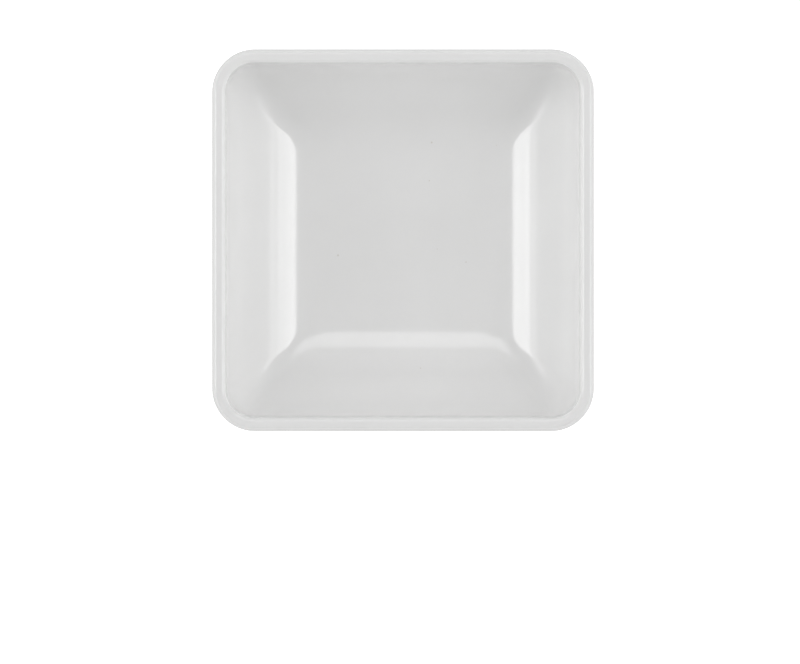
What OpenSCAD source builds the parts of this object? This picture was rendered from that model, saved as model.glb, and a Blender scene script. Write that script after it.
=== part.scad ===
// Small square bowl, moulded in one piece. An even wall runs from the flat floor through a
// wide quarter-round cove to an upright rim. It stands on a square foot ring, which has a
// bell-shaped drain notch in the middle of each side.
// The origin is the middle of the standing face, with +Z up. All lengths are in millimetres.

/* [Bowl] */
// Width over two opposite sides, at the widest line
bowl_w = 95; // [80:1:140]
// Height from the table to the crest of the rim
bowl_h = 34.6; // [30:0.1:42]
// Thickness of the wall and the floor
wall = 3.5; // [2.4:0.1:4.5]
// Corner radius of the outline, at the widest line
corner_r = 10.7; // [7:0.1:18]

/* [Rim] */
// Height of the rim band, from the widest line to the crest
band_h = 3.6; // [2.6:0.1:5]
// Angle that the band leans in where the rounding of the lip begins
band_lean = 18; // [10:1:26]
// Draft angle of the inner wall at the rim
rim_draft = 2; // [1:0.5:5]

/* [Inside] */
// Corner radius of the flat floor
floor_corner_r = 3; // [2:0.1:9]

/* [Foot] */
// Width over two sides of the foot, where it meets the underside
foot_w = 54.6; // [46:0.2:62]
// Height that the foot lifts the underside above the table
foot_lift = 3; // [2.6:0.1:5]
// Width of the foot's ring at the underside
ring_w = 5; // [3.6:0.1:6.4]
// Corner radius of the foot, where it meets the underside
foot_corner_r = 8; // [6.5:0.1:14]
// Draft angle of the foot's outer face
foot_draft = 13; // [5:1:20]
// Draft angle of the foot's inner face
recess_draft = 8; // [3:1:15]
// Radius of the hollow rounding between the foot and the wall above it
root_r = 1; // [0.4:0.1:2]

/* [Drain notches] */
// Width of a notch at the table
notch_w = 11.3; // [7:0.1:16]
// Height of a notch above the table
notch_h = 2.2; // [1:0.1:2.4]

/* [Smoothness] */
// Largest gap between a curve and its flat facets
facet_gap = 0.03; // [0.02:0.01:0.1]
// Facets round a quarter turn of a corner
corner_facets = 8; // [6:1:12]

/* [Hidden] */

// Largest turn between two facets of a small rounding, in degrees
facet_turn = 15;
// Flat crest between the two roundings of the lip, and the inner rounding, as shares of the wall
crest_share = 0.04;
lip_inner_share = 0.29;
// Outer and inner rounding of the standing face, as shares of the ring's width
tread_outer_share = 0.52;
tread_inner_share = 0.16;
// Rounding between the foot's inner face and the underside, as a share of the foot's lift
recess_r_share = 0.33;
// Share of a notch's height that its round crown takes, above the shoulders
notch_crown_share = 0.59;
// How late the inside's corner radius grows from the floor to the rim, where 1 is evenly
inside_growth = 2;
// Length by which a cut runs past what it cuts
overrun = 1;

// The round wall: two arcs about one centre, from the flat floor to the widest line
half_w = bowl_w / 2;
widest_z = bowl_h - band_h;
outer_r = widest_z - foot_lift;
inner_r = outer_r - wall;
centre_x = half_w - outer_r;

// Inner rounding of the lip, on the drafted line that ends the inner wall
lip_inner_r = lip_inner_share * wall;
lip_inner_z = bowl_h - lip_inner_r;
rim_foot_x = centre_x + inner_r * cos(rim_draft);
rim_foot_z = widest_z - inner_r * sin(rim_draft);
lip_inner_x = rim_foot_x + (lip_inner_z - rim_foot_z) * tan(rim_draft) + lip_inner_r / cos(rim_draft);

// Outer rounding of the lip, which fills the room that the band and the crest leave
lip_room = half_w - lip_inner_x - crest_share * wall - band_h * tan(band_lean / 2);
lip_outer_r = lip_room / (cos(band_lean) - tan(band_lean / 2) * (1 - sin(band_lean)));
lip_outer_x = lip_inner_x + crest_share * wall;
lip_outer_z = bowl_h - lip_outer_r;
band_r = (band_h - lip_outer_r * (1 - sin(band_lean))) / sin(band_lean);

// Foot: its outer face, standing face, inner face and the underside that it rings
foot_half = foot_w / 2;
tread_outer_r = tread_outer_share * ring_w;
tread_outer_x = foot_half - (foot_lift - tread_outer_r) * tan(foot_draft) - tread_outer_r / cos(foot_draft);
tread_inner_r = tread_inner_share * ring_w;
ring_inner_x = foot_half - ring_w;
tread_inner_x = ring_inner_x + (foot_lift - tread_inner_r) * tan(recess_draft)
    + tread_inner_r / cos(recess_draft);
recess_r = recess_r_share * foot_lift;
recess_x = ring_inner_x + recess_r * tan(recess_draft) - recess_r / cos(recess_draft);

// Hollow rounding that is tangent to the foot's outer face and to the round wall
face_run = [sin(foot_draft), cos(foot_draft)];
root_start = [foot_half, foot_lift] + root_r * [cos(foot_draft), -sin(foot_draft)]
    - [centre_x, widest_z];
root_reach = outer_r + root_r;
root_along = root_start * face_run;
root_slide = -root_along - sqrt(root_along ^ 2 - root_start * root_start + root_reach ^ 2);
root_offset = root_start + root_slide * face_run;
root_x = centre_x + root_offset[0];
root_z = widest_z + root_offset[1];
root_angle = atan2(root_offset[1], root_offset[0]);

// Points along an arc about (x, z), by half width and height, without the first one if first is 1
function arc(x, z, r, from, to, first = 0) =
    let (
        turn = min(facet_turn, 2 * acos(1 - facet_gap / r)),
        count = ceil(abs(to - from) / turn)
    )
    [for (i = [first:count])
        let (a = from + (to - from) * i / count)
        [x + r * cos(a), z + r * sin(a)]];

// Adds the corner radius of an even offset from a known ring
function offset_corners(points, ring_x, ring_r) =
    [for (p = points) [p[0], p[1], ring_r + p[0] - ring_x]];

// Adds a corner radius that changes between two known rings, evenly with the half width if growth is 1
function blended_corners(points, low_x, low_r, high_x, high_r, growth = 1) =
    [for (p = points)
        let (rise = max(p[0] - low_x, 0) / (high_x - low_x))
        [p[0], p[1], low_r + (high_r - low_r) * rise ^ growth]];

foot_section = offset_corners(
    concat(
        arc(recess_x, foot_lift - recess_r, recess_r, 90, recess_draft),
        arc(tread_inner_x, tread_inner_r, tread_inner_r, 180 + recess_draft, 270),
        arc(tread_outer_x, tread_outer_r, tread_outer_r, -90, -foot_draft),
        arc(root_x, root_z, root_r, 180 - foot_draft, 180 + root_angle)
    ),
    foot_half, foot_corner_r
);
root_ring = foot_section[len(foot_section) - 1];
wall_section = blended_corners(
    arc(centre_x, widest_z, outer_r, root_angle, 0, 1),
    root_ring[0], root_ring[2], half_w, corner_r
);
rim_section = offset_corners(
    concat(
        arc(half_w - band_r, widest_z, band_r, 0, band_lean, 1),
        arc(lip_outer_x, lip_outer_z, lip_outer_r, band_lean, 90, 1),
        arc(lip_inner_x, lip_inner_z, lip_inner_r, 90, 180 - rim_draft)
    ),
    half_w, corner_r
);
inside_section = blended_corners(
    arc(centre_x, widest_z, inner_r, -rim_draft, -90),
    centre_x, floor_corner_r, rim_foot_x, corner_r + rim_foot_x - half_w, inside_growth
);

// Whole section, from the underside round the foot and the rim to the floor
section = concat(foot_section, wall_section, rim_section, inside_section);

// Rounded square at one point of the section, where the corner radius stays within the half width
function ring(p) =
    let (r = min(p[2], p[0]), c = p[0] - r)
    [for (q = [0:3], i = [0:corner_facets])
        let (a = 90 * (q + i / corner_facets), middle = 45 + 90 * q)
        [c * sign(cos(middle)) + r * cos(a), c * sign(sin(middle)) + r * sin(a), p[1]]];

// Closed skin through all rings, with the underside and the floor as its two flat ends
module shell() {
    ring_points = 4 * (corner_facets + 1);
    last = len(section) - 1;
    polyhedron(
        points = [for (p = section) each ring(p)],
        faces = concat(
            [[for (i = [0:ring_points - 1]) i]],
            [for (k = [0:last - 1], i = [0:ring_points - 1])
                let (a = k * ring_points + i, b = k * ring_points + (i + 1) % ring_points)
                each [[a, a + ring_points, b], [b, a + ring_points, b + ring_points]]],
            [[for (i = [ring_points - 1:-1:0]) last * ring_points + i]]
        ),
        convexity = 6
    );
}

// Outline of a notch: a round crown that runs out over two rounded shoulders to the table
function notch_outline() =
    let (
        turn = 2 * atan(2 * notch_h / notch_w),
        radii = notch_h / (1 - cos(turn)),
        crown_r = notch_crown_share * radii,
        shoulder_r = radii - crown_r,
        half = notch_w / 2
    )
    concat(
        [[half, -overrun]],
        arc(half, shoulder_r, shoulder_r, 270, 270 - turn),
        arc(0, notch_h - crown_r, crown_r, 90 - turn, 90 + turn, 1),
        arc(-half, shoulder_r, shoulder_r, 270 + turn, 270, 1),
        [[-half, -overrun]]
    );

// Four notches: one channel across the foot each way
module drain_notches() {
    for (turn = [0, 90]) {
        rotate([90, 0, turn])
            linear_extrude(height = foot_w + 2 * overrun, center = true)
                polygon(notch_outline());
    }
}

module bowl() {
    color("whitesmoke")
        difference() {
            shell();
            drain_notches();
        }
}

bowl();
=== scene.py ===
"""Small square bowl: a one-piece white moulding, its surface finish and a plain studio.

The file is laid out as an add-on and makes everything once when it is run. Lengths are in
metres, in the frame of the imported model: the bowl stands on z = 0 and opens towards +Z.
"""

import math

import bpy
from bpy.props import FloatProperty, FloatVectorProperty, PointerProperty
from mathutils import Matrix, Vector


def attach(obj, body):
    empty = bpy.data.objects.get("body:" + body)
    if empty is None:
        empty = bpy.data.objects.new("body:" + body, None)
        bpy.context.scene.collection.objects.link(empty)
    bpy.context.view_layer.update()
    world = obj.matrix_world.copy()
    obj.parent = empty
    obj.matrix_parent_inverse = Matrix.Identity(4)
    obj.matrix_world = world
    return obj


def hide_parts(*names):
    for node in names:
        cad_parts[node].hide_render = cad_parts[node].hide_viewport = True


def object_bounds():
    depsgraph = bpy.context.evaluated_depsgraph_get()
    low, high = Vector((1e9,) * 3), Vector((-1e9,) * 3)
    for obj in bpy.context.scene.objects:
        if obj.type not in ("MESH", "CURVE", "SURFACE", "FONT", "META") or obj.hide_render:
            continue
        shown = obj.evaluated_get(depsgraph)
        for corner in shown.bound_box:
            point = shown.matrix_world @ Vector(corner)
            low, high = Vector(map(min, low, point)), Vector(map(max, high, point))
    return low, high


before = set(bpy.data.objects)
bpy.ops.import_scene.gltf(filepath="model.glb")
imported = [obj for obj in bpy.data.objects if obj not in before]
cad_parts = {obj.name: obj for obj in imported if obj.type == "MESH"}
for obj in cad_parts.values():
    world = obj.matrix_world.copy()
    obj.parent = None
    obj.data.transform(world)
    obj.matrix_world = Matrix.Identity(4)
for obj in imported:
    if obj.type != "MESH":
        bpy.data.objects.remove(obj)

bl_info = {
    "name": "Square Bowl",
    "version": (1, 0, 0),
    "blender": (4, 5, 0),
    "location": "3D View > Sidebar > Bowl",
    "description": "Makes a small square moulded bowl with a notched foot, and its studio",
    "category": "Object",
}

CAD_LOW, CAD_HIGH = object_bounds()


def length(name, description, default):
    """A length that the user may change."""
    return FloatProperty(
        name=name, description=description, default=default, min=0.0, precision=5, unit="LENGTH"
    )


def angle(name, description, degrees):
    """An angle that the user may change."""
    return FloatProperty(
        name=name, description=description, default=math.radians(degrees), unit="ROTATION"
    )


def amount(name, description, default, high=1.0):
    """A plain number from zero up."""
    return FloatProperty(name=name, description=description, default=default, min=0.0, max=high)


def colour(name, description, default):
    """A colour that the user may change."""
    return FloatVectorProperty(
        name=name, description=description, default=default, size=3, min=0.0, max=1.0, subtype="COLOR"
    )


class BowlSizes(bpy.types.PropertyGroup):
    """Sizes of the moulding."""

    width: length("Width", "Over two opposite sides, at the widest line", CAD_HIGH.x - CAD_LOW.x)
    height: length("Height", "From the table to the crest of the rim", CAD_HIGH.z - CAD_LOW.z)
    wall: length("Wall", "Thickness of the wall and the floor", 0.0035)
    corner_r: length("Corner radius", "Of the outline, at the widest line", 0.0107)
    band_h: length("Rim band", "Height from the widest line to the crest", 0.0036)
    band_lean: angle("Band lean", "Inward lean of the band where the lip's rounding begins", 18)
    rim_draft: angle("Rim draft", "Draft of the inner wall at the rim", 4)
    crest_flat: amount("Crest flatness", "Share of the rim that is flat, beside its outer rounding", 0.6)
    floor_corner_r: length("Floor corner radius", "Corner radius of the flat floor", 0.004)
    corner_fullness: amount(
        "Corner fullness", "Power of the floor's corners: 2 is round, more is squarer", 2.6, 6
    )
    foot_w: length("Foot width", "Over two sides of the foot, at the underside", 0.0546)
    foot_lift: length("Foot lift", "Height of the underside above the table", 0.003)
    ring_w: length("Foot ring width", "Width of the foot's ring at the underside", 0.005)
    foot_corner_r: length("Foot corner radius", "Where the foot meets the underside", 0.008)
    foot_draft: angle("Foot draft", "Draft of the foot's outer face", 13)
    recess_draft: angle("Recess draft", "Draft of the foot's inner face", 8)
    root_r: length("Root radius", "Hollow rounding between the foot and the wall", 0.001)
    notch_w: length("Notch width", "Width of a drain notch at the table", 0.0113)
    notch_h: length("Notch height", "Height of a drain notch above the table", 0.0022)
    edge_r: length("Notch edge", "Softness of the edges round a notch", 0.0004)


class BowlFinish(bpy.types.PropertyGroup):
    """Colours and surface of the moulding."""

    body: colour("Body", "Colour of the moulded material", (0.92, 0.92, 0.916))
    mottle: amount("Mottling", "How much darker the cloudy patches are", 0.02)
    speck: colour("Specks", "Colour of the dark grains in the moulding", (0.76, 0.74, 0.7))
    gloss: amount("Roughness", "Roughness of the glossy surface", 0.09)
    worn: amount("Worn roughness", "Roughness of the standing face", 0.42)
    # Painted shade: the share by which the crest of the rim is painted darker
    crest_shade: amount("Crest wear", "How much darker the crest of the rim has become with use", 0.05)
    waves: length("Surface waves", "Height of the long waves of the surface", 0.00002)


class StudioLook(bpy.types.PropertyGroup):
    """Floor, surroundings and camera."""

    floor: colour("Floor", "Colour of the floor", (0.3, 0.3, 0.3))
    floor_glow: amount("Floor glow", "Light that the lit floor gives", 1.0, 5)
    surround: amount("Surround", "Light of the room above the horizon", 0.18, 5)
    horizon: amount("Horizon", "Light of the white backdrop at the horizon", 1.0, 5)
    ceiling_front: amount("Ceiling in front", "Light that the ceiling adds towards -Y", 0.25, 5)
    ceiling_back: amount("Ceiling behind", "Light that the ceiling adds towards +Y", 0.17, 5)
    ceiling_top: amount(
        "Ceiling above", "Brightness straight above, against the rest of the ceiling", 1.3, 9
    )
    glow_front: amount("Side glow in front", "Low light from both sides, towards -Y", 1.1, 5)
    glow_back: amount("Side glow behind", "Low light from both sides, towards +Y", 0.72, 5)
    glow_ends: amount("Glow at the ends", "Low light along Y, as a share of the side glow", 0.22)
    ground_side: amount("Ground at the sides", "Light from below, along X", 0.5, 5)
    ground_end: amount("Ground at the ends", "Light from below, along Y", 1.2, 5)
    ground_down: amount("Ground below", "Light from straight below", 0.65, 5)
    camera_x: FloatProperty(name="Camera X", description="Sideways place", default=-0.00075, unit="LENGTH")
    camera_y: FloatProperty(name="Camera Y", description="Place along Y", default=-0.02284, unit="LENGTH")
    camera_h: length("Camera height", "Height over the widest line", 3.0)


# The moulding: rounded-square rings along one section

# Roundings of the foot and the lip, as shares of the ring's width, the foot's lift and the wall
TREAD_SHARE = 0.52
HEEL_SHARE = 0.16
RECESS_SHARE = 0.33
INNER_LIP_SHARE = 0.29

# The notch: its crown's share of both radii, and how far points lie close on either side of
# its middle, in notch widths
NOTCH_CROWN_SHARE = 0.59
NOTCH_DENSE_SHARE = 0.58

# Corners: the power of a round one, and how late radius and power change up the inside
ROUND_POWER = 2.0
CORNER_GROWTH = 3
POWER_GROWTH = 2

# The most that one facet of an arc turns, in degrees
WALL_TURN = 2.5
BAND_TURN = 3
EDGE_TURN = 5
SMALL_TURN = 8
HEEL_TURN = 10

# Rings on the straight stretches of the foot
INNER_FACE_RINGS = 7
STANDING_FACE_RINGS = 1
OUTER_FACE_RINGS = 8

# Rings of the flat floor and recess: a narrow strip inside the edge, then shares of its size
EDGE_STRIP = 0.001
FLAT_SHARES = (0.85, 0.7, 0.55, 0.4, 0.25, 0.1)


def arc(x, z, r, start, end, step, first=0):
    """Points (x, z) along an arc between two angles, in facets that turn by step at most."""
    count = max(1, math.ceil(abs(end - start) / math.radians(step) - 1e-6))
    angles = [start + (end - start) * i / count for i in range(first, count + 1)]
    return [(x + r * math.cos(a), z + r * math.sin(a)) for a in angles]


def between(a, b, count):
    """Points that divide the straight line from a to b, without its ends."""
    shares = [i / (count + 1) for i in range(1, count + 1)]
    return [(a[0] + (b[0] - a[0]) * t, a[1] + (b[1] - a[1]) * t) for t in shares]


def offset_corners(points, ring_x, ring_r):
    """Adds the corner radius of an even offset from a known ring."""
    return [(x, z, ring_r + x - ring_x) for x, z in points]


def blended_corners(points, low_x, low_r, high_x, high_r, power=1):
    """Adds a corner radius that changes with the half width, evenly if the power is 1."""
    return [
        (x, z, low_r + (high_r - low_r) * max((x - low_x) / (high_x - low_x), 0) ** power)
        for x, z in points
    ]


def foot_points(s, centre_x, widest_z, outer_r):
    """Section of the foot from the recess to the wall, and the angle where the wall begins."""
    half = s.foot_w / 2
    down, right = math.radians(-90), 0.0
    tread_r = TREAD_SHARE * s.ring_w
    tread_x = half - (s.foot_lift - tread_r) * math.tan(s.foot_draft) - tread_r / math.cos(s.foot_draft)
    heel_r = HEEL_SHARE * s.ring_w
    inner_x = half - s.ring_w
    heel_x = inner_x + (s.foot_lift - heel_r) * math.tan(s.recess_draft) + heel_r / math.cos(s.recess_draft)
    recess_r = RECESS_SHARE * s.foot_lift
    recess_x = inner_x + recess_r * math.tan(s.recess_draft) - recess_r / math.cos(s.recess_draft)

    # Hollow rounding, tangent to the foot's outer face and to the round wall
    run = (math.sin(s.foot_draft), math.cos(s.foot_draft))
    start = (half + s.root_r * run[1] - centre_x, s.foot_lift - s.root_r * run[0] - widest_z)
    along = start[0] * run[0] + start[1] * run[1]
    reach = outer_r + s.root_r
    slide = -along - math.sqrt(along ** 2 - start[0] ** 2 - start[1] ** 2 + reach ** 2)
    root = (start[0] + slide * run[0], start[1] + slide * run[1])
    root_angle = math.atan2(root[1], root[0])

    recess = arc(recess_x, s.foot_lift - recess_r, recess_r, -down, s.recess_draft, SMALL_TURN)
    heel = arc(heel_x, heel_r, heel_r, math.pi + s.recess_draft, -3 * down, HEEL_TURN)
    tread = arc(tread_x, tread_r, tread_r, down, right - s.foot_draft, EDGE_TURN)
    hollow = arc(
        centre_x + root[0], widest_z + root[1], s.root_r,
        math.pi - s.foot_draft, math.pi + root_angle, SMALL_TURN,
    )
    points = (
        recess + between(recess[-1], heel[0], INNER_FACE_RINGS)
        + heel + between(heel[-1], tread[0], STANDING_FACE_RINGS)
        + tread + between(tread[-1], hollow[0], OUTER_FACE_RINGS) + hollow
    )
    return points, root_angle


def bowl_section(s):
    """Every ring's half width, height, corner radius and corner power, and the foot's count."""
    half = s.width / 2
    widest_z = s.height - s.band_h
    outer_r = widest_z - s.foot_lift
    inner_r = outer_r - s.wall
    centre_x = half - outer_r
    up, right = math.radians(90), 0.0

    points, root_angle = foot_points(s, centre_x, widest_z, outer_r)
    foot = offset_corners(points, s.foot_w / 2, s.foot_corner_r)

    root_x, _, root_corner = foot[-1]
    wall_arc = arc(centre_x, widest_z, outer_r, root_angle, right, WALL_TURN, first=1)
    wall = blended_corners(wall_arc, root_x, root_corner, half, s.corner_r)

    inner_lip = INNER_LIP_SHARE * s.wall
    inner_lip_z = s.height - inner_lip
    rim_x = centre_x + inner_r * math.cos(s.rim_draft)
    rim_z = widest_z - inner_r * math.sin(s.rim_draft)
    inner_lip_x = rim_x + (inner_lip_z - rim_z) * math.tan(s.rim_draft) + inner_lip / math.cos(s.rim_draft)
    lean = math.tan(s.band_lean / 2)
    room = half - inner_lip_x - s.band_h * lean
    crest = s.crest_flat * room
    outer_lip = (room - crest) / (math.cos(s.band_lean) - lean * (1 - math.sin(s.band_lean)))
    band_r = (s.band_h - outer_lip * (1 - math.sin(s.band_lean))) / math.sin(s.band_lean)
    rim = offset_corners(
        arc(half - band_r, widest_z, band_r, right, s.band_lean, BAND_TURN, first=1)
        + arc(inner_lip_x + crest, s.height - outer_lip, outer_lip, s.band_lean, up, EDGE_TURN, first=1)
        + arc(inner_lip_x, inner_lip_z, inner_lip, up, 2 * up - s.rim_draft, SMALL_TURN),
        half, s.corner_r,
    )
    inside = blended_corners(
        arc(centre_x, widest_z, inner_r, -s.rim_draft, -up, WALL_TURN),
        centre_x, s.floor_corner_r, rim_x, s.corner_r + rim_x - half, power=CORNER_GROWTH,
    )
    section = [(*p, ROUND_POWER) for p in foot + wall + rim]
    for x, z, corner_r in inside:
        rise = max((x - centre_x) / (rim_x - centre_x), 0)
        power = s.corner_fullness + (ROUND_POWER - s.corner_fullness) * rise ** POWER_GROWTH
        section.append((x, z, corner_r, power))
    return section, len(foot)


def side_places(run, dense):
    """Places along one straight side: close together over the notch, wider towards the corners."""
    fine, coarse = 28, 6
    middle = [dense * (2 * i / fine - 1) for i in range(fine + 1)]
    outer = [dense + (run - dense) * (i + 1) / coarse for i in range(coarse)]
    return [-t for t in reversed(outer)] + middle + outer


def ring_outline(half, corner_r, power, dense):
    """Rounded square as points (x, y, place along a side, or None on a corner)."""
    corner_r = min(corner_r, half)
    run = half - corner_r
    steps = 24
    outline = []
    for side in range(4):
        turn = math.radians(90 * side)
        c, s = round(math.cos(turn)), round(math.sin(turn))
        quarter = [(half, t, t) for t in side_places(run, dense)]
        for i in range(1, steps):
            a = math.radians(90) * i / steps
            over, along = (corner_r * f(a) ** (ROUND_POWER / power) for f in (math.cos, math.sin))
            quarter.append((run + over, run + along, None))
        outline += [(c * x - s * y, s * x + c * y, t) for x, y, t in quarter]
    return outline


def notch_height(s, t):
    """Height of the drain notch's bell outline at a place along the side."""
    turn = 2 * math.atan(2 * s.notch_h / s.notch_w)
    radii = s.notch_h / (1 - math.cos(turn))
    crown_r = NOTCH_CROWN_SHARE * radii
    shoulder_r = radii - crown_r
    reach = s.notch_w / 2 - abs(t)
    if reach <= 0:
        return 0.0
    if abs(t) <= crown_r * math.sin(turn):
        return s.notch_h - crown_r + math.sqrt(crown_r ** 2 - t ** 2)
    return shoulder_r - math.sqrt(shoulder_r ** 2 - reach ** 2)


def lifted(s, z, t):
    """Height of a point of the foot once the notch is cut, with soft edges."""
    bell = notch_height(s, t)
    if bell <= 0:
        return z
    soft = s.edge_r * min(1.0, bell / (2 * s.edge_r))
    overlap = max(soft - abs(z - bell), 0) / soft
    return max(z, bell) + overlap ** 2 * soft / 4


def bowl_mesh(s):
    """Closed mesh: quads between the rings, and a flat face in the middle of floor and recess."""
    section, foot_count = bowl_section(s)
    dense = NOTCH_DENSE_SHARE * s.notch_w
    rings = []
    for index, (half, z, corner_r, power) in enumerate(section):
        outline = ring_outline(half, corner_r, power, dense)
        in_foot = index < foot_count
        rings.append([
            (x, y, lifted(s, z, t) if in_foot and t is not None else z) for x, y, t in outline
        ])

    def flat_rings(ring):
        """Smaller and smaller copies of a flat ring, the first one close inside it."""
        half = max(x for x, y, z in ring)
        shares = [1 - EDGE_STRIP / half, *FLAT_SHARES]
        return [[(x * k, y * k, z) for x, y, z in ring] for k in shares]

    rings = flat_rings(rings[0])[::-1] + rings + flat_rings(rings[-1])
    count = len(rings[0])
    faces = [tuple(range(count))]
    for k in range(len(rings) - 1):
        low, high = k * count, (k + 1) * count
        for i in range(count):
            j = (i + 1) % count
            faces.append((low + i, high + i, high + j, low + j))
    last = (len(rings) - 1) * count
    faces.append(tuple(last + i for i in reversed(range(count))))

    mesh = bpy.data.meshes.new("bowl_moulding")
    mesh.from_pydata([p for ring in rings for p in ring], [], faces)
    mesh.polygons.foreach_set("use_smooth", [True] * len(mesh.polygons))
    mesh.validate()
    mesh.update()
    return mesh


# The finish


class NodeBench:
    """Adds nodes to a material, world or light, with their inputs given by name or number."""

    columns, column_width, row_height = 8, 220, 260

    def __init__(self, owner):
        owner.use_nodes = True
        self.tree = owner.node_tree
        self.tree.nodes.clear()

    def add(self, kind, inputs=None, **settings):
        node = self.tree.nodes.new(kind)
        row, column = divmod(len(self.tree.nodes), self.columns)
        node.location = (self.column_width * column, -self.row_height * row)
        for key, value in settings.items():
            setattr(node, key, value)
        for key, value in (inputs or {}).items():
            if isinstance(value, bpy.types.NodeSocket):
                self.tree.links.new(value, node.inputs[key])
            else:
                node.inputs[key].default_value = value
        return node

    def maths(self, operation, a, b):
        return self.add("ShaderNodeMath", {0: a, 1: b}, operation=operation).outputs[0]

    def spread(self, value, from_min, from_max, to_min=0.0, to_max=1.0, smooth=False):
        node = self.add(
            "ShaderNodeMapRange",
            {
                "Value": value, "From Min": from_min, "From Max": from_max,
                "To Min": to_min, "To Max": to_max,
            },
            interpolation_type="SMOOTHSTEP" if smooth else "LINEAR",
        )
        return node.outputs[0]

    def noise(self, place, scale, detail):
        node = self.add("ShaderNodeTexNoise", {"Vector": place, "Scale": scale, "Detail": detail})
        return node.outputs[0]

    def blend(self, factor, a, b):
        node = self.add("ShaderNodeMix", {0: factor, 6: a, 7: b}, data_type="RGBA")
        return node.outputs[2]


BLACK = (0.0, 0.0, 0.0, 1.0)
WHITE = (1.0, 1.0, 1.0, 1.0)
MELAMINE_IOR = 1.6

# Patterns of the moulded material: about how many to a metre
CLOUDS_PER_M = 70
GRAIN_PER_M = 1400
FLECKS_PER_M = 230
PATCHES_PER_M = 160
WAVES_PER_M = 42

# The stretch of a noise that is used, and the least that the grain leaves of the brightness
NOISE_RANGE = (0.3, 0.7)
GRAIN_TONE = 0.994

# Uneven gloss: the stretch of its noise that is used, and what it multiplies the roughness by
PATCH_RANGE = (0.35, 0.65)
PATCH_FACTORS = (0.85, 1.2)

# Painted shade on the crest and wear on the foot: how far under the crest and how high over the table each
# fades, in metres
CREST_SHADE_FADE = (0.0008, 0.0003)
FOOT_FADE = (0.0001, 0.0006)

# Flecks at random: cells over this number have one, its edge in cells, and how strong it is
FLECK_LIMIT = 0.93
FLECK_EDGE = (0.03, 0.045)
FLECK_STRENGTH = 0.5

# Dark grains that show inside: place along X and Y in millimetres, and radius in micrometres
SPECKS = (
    (7.2, 24.7, 260),
    (23.5, 24.0, 190),
    (-16.3, -3.6, 270),
    (6.6, 15.1, 170),
    (15.8, -5.3, 190),
    (4.4, -31.9, 190),
)
# Where a grain's soft edge begins and ends, over its radius
SPECK_EDGE_SHARES = (0.2, 1.4)
MM_PER_M = 1000
UM_PER_M = 1e6


def inside_height(s, x, y):
    """Height of the inside's surface over a place on the floor or on a straight wall."""
    widest_z = s.height - s.band_h
    inner_r = widest_z - s.foot_lift - s.wall
    out = max(abs(x), abs(y)) - (s.width / 2 - inner_r - s.wall)
    return widest_z - math.sqrt(inner_r ** 2 - max(out, 0.0) ** 2)


def melamine(look, sizes):
    """Glossy white moulded plastic with faint clouds, a few dark grains, painted shade on the crest, and
    wear on the foot.
    """
    material = bpy.data.materials.new("white_melamine")
    bench = NodeBench(material)
    place = bench.add("ShaderNodeTexCoord").outputs["Object"]
    height = bench.add("ShaderNodeSeparateXYZ", {0: place}).outputs["Z"]

    clouds = bench.noise(place, CLOUDS_PER_M, detail=3)
    grain = bench.noise(place, GRAIN_PER_M, detail=2)
    tone = bench.spread(clouds, *NOISE_RANGE, 1 - look.mottle, 1.0)
    tone = bench.maths("MULTIPLY", tone, bench.spread(grain, *NOISE_RANGE, GRAIN_TONE, 1.0))
    # Painted shade: the crest of the rim is painted darker towards its top
    crest_low, crest_high = (sizes.height - depth for depth in CREST_SHADE_FADE)
    crest = bench.spread(height, crest_low, crest_high, 0, 1, smooth=True)
    tone = bench.maths("MULTIPLY", tone, bench.spread(crest, 0, 1, 1, 1 - look.crest_shade))
    body = bench.blend(tone, BLACK, (*look.body, 1.0))

    cells = bench.add("ShaderNodeTexVoronoi", {"Vector": place, "Scale": FLECKS_PER_M})
    chance = bench.add("ShaderNodeSeparateColor", {0: cells.outputs["Color"]}).outputs[0]
    chosen = bench.maths("GREATER_THAN", chance, FLECK_LIMIT)
    dots = bench.spread(cells.outputs["Distance"], *FLECK_EDGE, 1, 0, smooth=True)
    specks = bench.maths("MULTIPLY", chosen, bench.maths("MULTIPLY", dots, FLECK_STRENGTH))
    for x_mm, y_mm, radius in SPECKS:
        x, y = x_mm / MM_PER_M, y_mm / MM_PER_M
        away = bench.add(
            "ShaderNodeVectorMath", {0: place, 1: (x, y, inside_height(sizes, x, y))}, operation="DISTANCE"
        ).outputs["Value"]
        core, fringe = (share * radius / UM_PER_M for share in SPECK_EDGE_SHARES)
        dot = bench.spread(away, core, fringe, 1, 0, smooth=True)
        specks = bench.maths("MAXIMUM", specks, dot)
    body = bench.blend(specks, body, (*look.speck, 1.0))

    worn = bench.spread(height, *FOOT_FADE, 1, 0, smooth=True)
    patches = bench.spread(bench.noise(place, PATCHES_PER_M, detail=4), *PATCH_RANGE, *PATCH_FACTORS)
    gloss = bench.maths("MULTIPLY", patches, look.gloss)
    roughness = bench.add("ShaderNodeMix", {0: worn, 2: gloss, 3: look.worn}).outputs[0]

    waves = bench.noise(place, WAVES_PER_M, detail=1)
    bump = bench.add("ShaderNodeBump", {"Strength": 1.0, "Distance": look.waves, "Height": waves})
    shader = bench.add(
        "ShaderNodeBsdfPrincipled",
        {"Base Color": body, "Roughness": roughness, "IOR": MELAMINE_IOR, "Normal": bump.outputs[0]},
    )
    bench.add("ShaderNodeOutputMaterial", {0: shader.outputs[0]})
    return material


# The studio

# Softboxes, seen from the bowl: name, azimuth from +X, elevation, width in azimuth and height,
# all in degrees, and strength at the lower and the upper edge
SOFTBOXES = (
    ("softbox_right", 0, 45, 30, 30, 2.0, 5.0),
    ("softbox_right_fill", 0, 30, 60, 20, 1.6, 0.6),
    ("softbox_left", 180, 42, 24, 28, 3.2, 4.8),
    ("softbox_left_fill", 180, 30, 80, 20, 1.5, 0.3),
    ("softbox_back", 90, 66, 90, 24, 1.8, 2.2),
    ("softbox_back_low", 90, 40, 60, 36, 0.1, 0.6),
)
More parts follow.
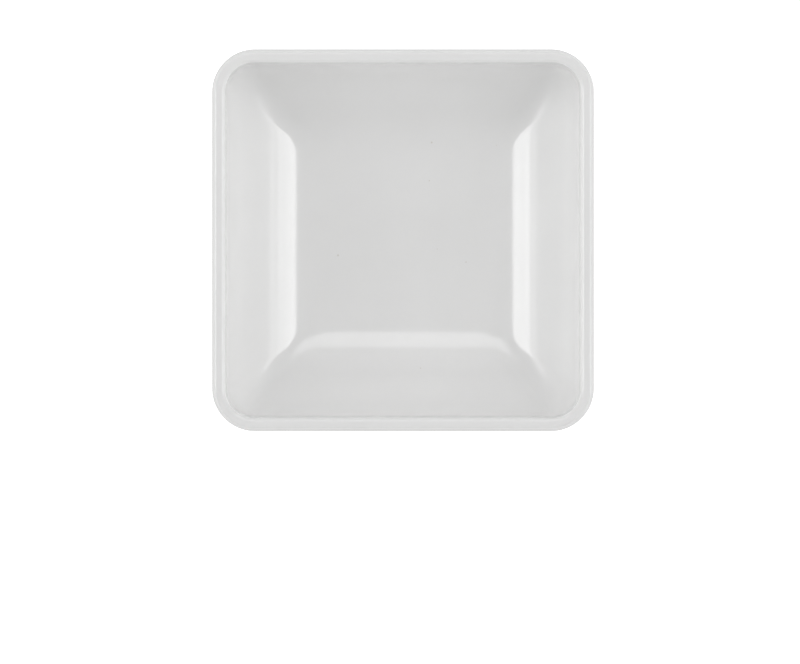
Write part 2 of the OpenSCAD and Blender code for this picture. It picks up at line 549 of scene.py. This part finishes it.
# Their distance, the height of what they face, and the share that fades at each side and at
# the top and bottom
SOFTBOX_REACH = 0.9
SOFTBOX_AIM_Z = 0.02
SOFTBOX_FADE = (0.3, 0.22)


def add_softbox(name, azimuth, elevation, width, height, low, high):
    """Area light that faces the bowl, with its width level, and fades towards its edges."""
    a, e = math.radians(azimuth), math.radians(elevation)
    light = bpy.data.lights.new(name, "AREA")
    light.shape = "RECTANGLE"
    light.size = 2 * SOFTBOX_REACH * math.tan(math.radians(width / 2)) * math.cos(e)
    light.size_y = 2 * SOFTBOX_REACH * math.tan(math.radians(height / 2))
    # In step with the area, so that a box of any size is as bright as its strength says
    light.energy = math.pi * light.size * light.size_y

    bench = NodeBench(light)
    place = bench.add("ShaderNodeNewGeometry").outputs["Parametric"]
    across, up = bench.add("ShaderNodeSeparateXYZ", {0: place}).outputs[:2]
    strength = bench.spread(up, 0, 1, low, high)
    for along, fade in zip((across, up), SOFTBOX_FADE):
        inset = bench.maths("MINIMUM", along, bench.maths("SUBTRACT", 1.0, along))
        strength = bench.maths("MULTIPLY", strength, bench.spread(inset, 0, fade, smooth=True))
    glow = bench.add("ShaderNodeEmission", {"Strength": strength})
    bench.add("ShaderNodeOutputLight", {0: glow.outputs[0]})

    box = bpy.data.objects.new(name, light)
    bpy.context.scene.collection.objects.link(box)
    box.location = (
        SOFTBOX_REACH * math.cos(e) * math.cos(a),
        SOFTBOX_REACH * math.cos(e) * math.sin(a),
        SOFTBOX_REACH * math.sin(e) + SOFTBOX_AIM_Z,
    )
    box.rotation_euler = (math.radians(90) - e, 0, a + math.radians(90))


FLOOR_PATCHES_PER_M = 3
FLOOR_TONE = 0.99


def floor_material(look):
    """Pale lit floor, which is clear when it is seen from below."""
    material = bpy.data.materials.new("studio_floor")
    bench = NodeBench(material)
    place = bench.add("ShaderNodeTexCoord").outputs["Object"]
    patches = bench.noise(place, FLOOR_PATCHES_PER_M, detail=2)
    tone = bench.spread(patches, *NOISE_RANGE, FLOOR_TONE, 1.0)
    surface = bench.add(
        "ShaderNodeBsdfPrincipled",
        {
            "Base Color": bench.blend(tone, BLACK, (*look.floor, 1.0)),
            "Roughness": 0.8,
            "Specular IOR Level": 0.1,
            "Emission Color": WHITE,
            "Emission Strength": look.floor_glow,
        },
    )
    clear = bench.add("ShaderNodeBsdfTransparent")
    below = bench.add("ShaderNodeNewGeometry").outputs["Backfacing"]
    both = bench.add("ShaderNodeMixShader", {0: below, 1: surface.outputs[0], 2: clear.outputs[0]})
    bench.add("ShaderNodeOutputMaterial", {0: both.outputs[0]})
    return material


def add_floor(look):
    """Wide round floor at the height of the standing face, which lights nothing by itself."""
    radius, count = 4.0, 96
    rim = [
        (radius * math.cos(2 * math.pi * i / count), radius * math.sin(2 * math.pi * i / count), 0)
        for i in range(count)
    ]
    mesh = bpy.data.meshes.new("studio_floor")
    mesh.from_pydata(rim, [], [tuple(range(count))])
    mesh.materials.append(floor_material(look))
    floor = bpy.data.objects.new("studio_floor", mesh)
    floor.visible_diffuse = floor.visible_glossy = False
    bpy.context.scene.collection.objects.link(floor)


# Parts of the surround, by how far up a direction points: -1 is straight down, 1 straight up
GROUND_FADE = (-0.9, -0.55)
HORIZON_FOOT = (-0.06, -0.02)
LEVEL_BLEND = (-0.02, 0.0)
HORIZON_TOP = (0.08, 0.24)
CEILING_EDGE = (0.4, 0.84)
CEILING_MIDDLE = (0.92, 1.0)
GLOW_FOOT = (0.05, 0.2)
GLOW_TOP = (0.42, 0.62)

# The same by how far a direction points along Y, and by the square of that along X
CEILING_ALONG = (-0.4, 0.4)
GLOW_ALONG = (-0.7, 0.7)
GLOW_SIDEWAYS = (0, 0.6)


def add_surround(look):
    """Room light with a soft ceiling, a white horizon, a low glow at both sides and a lit ground."""
    world = bpy.data.worlds.new("studio_surround")
    bpy.context.scene.world = world
    bench = NodeBench(world)
    way = bench.add("ShaderNodeTexCoord").outputs["Generated"]
    across, along, rise = bench.add("ShaderNodeSeparateXYZ", {0: way}).outputs
    ends = bench.spread(bench.maths("POWER", along, 2.0), 0, 1, look.ground_side, look.ground_end)
    ground = bench.spread(rise, *GROUND_FADE, look.ground_down, ends, smooth=True)
    low = bench.spread(rise, *HORIZON_FOOT, ground, look.horizon, smooth=True)
    high = bench.spread(rise, *HORIZON_TOP, look.horizon, look.surround, smooth=True)
    open_room = bench.spread(rise, *LEVEL_BLEND, low, high)

    ring = bench.maths(
        "MULTIPLY",
        bench.spread(rise, *CEILING_EDGE, smooth=True),
        bench.spread(rise, *CEILING_MIDDLE, 1, look.ceiling_top, smooth=True),
    )
    ceiling = bench.spread(along, *CEILING_ALONG, look.ceiling_front, look.ceiling_back, smooth=True)
    above = bench.maths("MULTIPLY", ring, ceiling)

    walls = bench.maths(
        "MULTIPLY",
        bench.spread(rise, *GLOW_FOOT, smooth=True),
        bench.spread(rise, *GLOW_TOP, 1, 0, smooth=True),
    )
    sideways = bench.spread(bench.maths("POWER", across, 2.0), *GLOW_SIDEWAYS, look.glow_ends, 1)
    glow = bench.spread(along, *GLOW_ALONG, look.glow_front, look.glow_back, smooth=True)
    beside = bench.maths("MULTIPLY", bench.maths("MULTIPLY", walls, sideways), glow)
    strength = bench.maths("ADD", open_room, bench.maths("ADD", above, beside))
    light = bench.add("ShaderNodeBackground", {"Color": WHITE, "Strength": strength})
    bench.add("ShaderNodeOutputWorld", {0: light.outputs[0]})


# Focal length in millimetres for each metre of camera height, so that the bowl keeps its size
# in the picture
LENS_PER_M = 180.85


def add_camera(look, widest_z):
    """Camera straight above, which sees the bowl in the upper half of the picture."""
    data = bpy.data.cameras.new("view_from_above")
    data.sensor_width = 36.0
    data.lens = LENS_PER_M * look.camera_h
    data.clip_start, data.clip_end = 0.1, 20.0
    camera = bpy.data.objects.new("view_from_above", data)
    camera.location = (look.camera_x, look.camera_y, widest_z + look.camera_h)
    bpy.context.scene.collection.objects.link(camera)
    bpy.context.scene.camera = camera


class BOWL_OT_moulding(bpy.types.Operator):
    """Make the bowl's moulding and its finish"""

    bl_idname = "bowl.moulding"
    bl_label = "Make the Bowl"
    bl_options = {"REGISTER", "UNDO"}

    def execute(self, context):
        mesh = bowl_mesh(context.scene.bowl_sizes)
        mesh.materials.append(melamine(context.scene.bowl_finish, context.scene.bowl_sizes))
        bowl = bpy.data.objects.new("bowl_moulding", mesh)
        context.scene.collection.objects.link(bowl)
        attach(bowl, "root")
        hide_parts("bowl")
        return {"FINISHED"}


class BOWL_OT_studio(bpy.types.Operator):
    """Make the floor, the lights, the surroundings and the camera"""

    bl_idname = "bowl.studio"
    bl_label = "Make the Studio"
    bl_options = {"REGISTER", "UNDO"}

    def execute(self, context):
        look, sizes = context.scene.bowl_studio, context.scene.bowl_sizes
        add_floor(look)
        add_surround(look)
        for row in SOFTBOXES:
            add_softbox(*row)
        add_camera(look, sizes.height - sizes.band_h)
        context.scene.view_settings.view_transform = "Standard"
        return {"FINISHED"}


class VIEW3D_PT_square_bowl(bpy.types.Panel):
    """Sizes, finish and studio of the bowl"""

    bl_label = "Square Bowl"
    bl_space_type = "VIEW_3D"
    bl_region_type = "UI"
    bl_category = "Bowl"

    def draw(self, context):
        layout = self.layout
        layout.use_property_split = True
        for title, group, operator in (
            ("Bowl", context.scene.bowl_sizes, "bowl.moulding"),
            ("Finish", context.scene.bowl_finish, None),
            ("Studio", context.scene.bowl_studio, "bowl.studio"),
        ):
            box = layout.box()
            box.label(text=title)
            for key in group.__annotations__:
                box.prop(group, key)
            if operator:
                box.operator(operator)


CLASSES = (BowlSizes, BowlFinish, StudioLook, BOWL_OT_moulding, BOWL_OT_studio, VIEW3D_PT_square_bowl)


def register():
    for kind in CLASSES:
        bpy.utils.register_class(kind)
    bpy.types.Scene.bowl_sizes = PointerProperty(type=BowlSizes)
    bpy.types.Scene.bowl_finish = PointerProperty(type=BowlFinish)
    bpy.types.Scene.bowl_studio = PointerProperty(type=StudioLook)


def unregister():
    del bpy.types.Scene.bowl_studio
    del bpy.types.Scene.bowl_finish
    del bpy.types.Scene.bowl_sizes
    for kind in reversed(CLASSES):
        bpy.utils.unregister_class(kind)


def main():
    """Registers the classes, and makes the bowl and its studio."""
    register()
    bpy.ops.bowl.moulding()
    bpy.ops.bowl.studio()


if __name__ == "__main__":
    main()
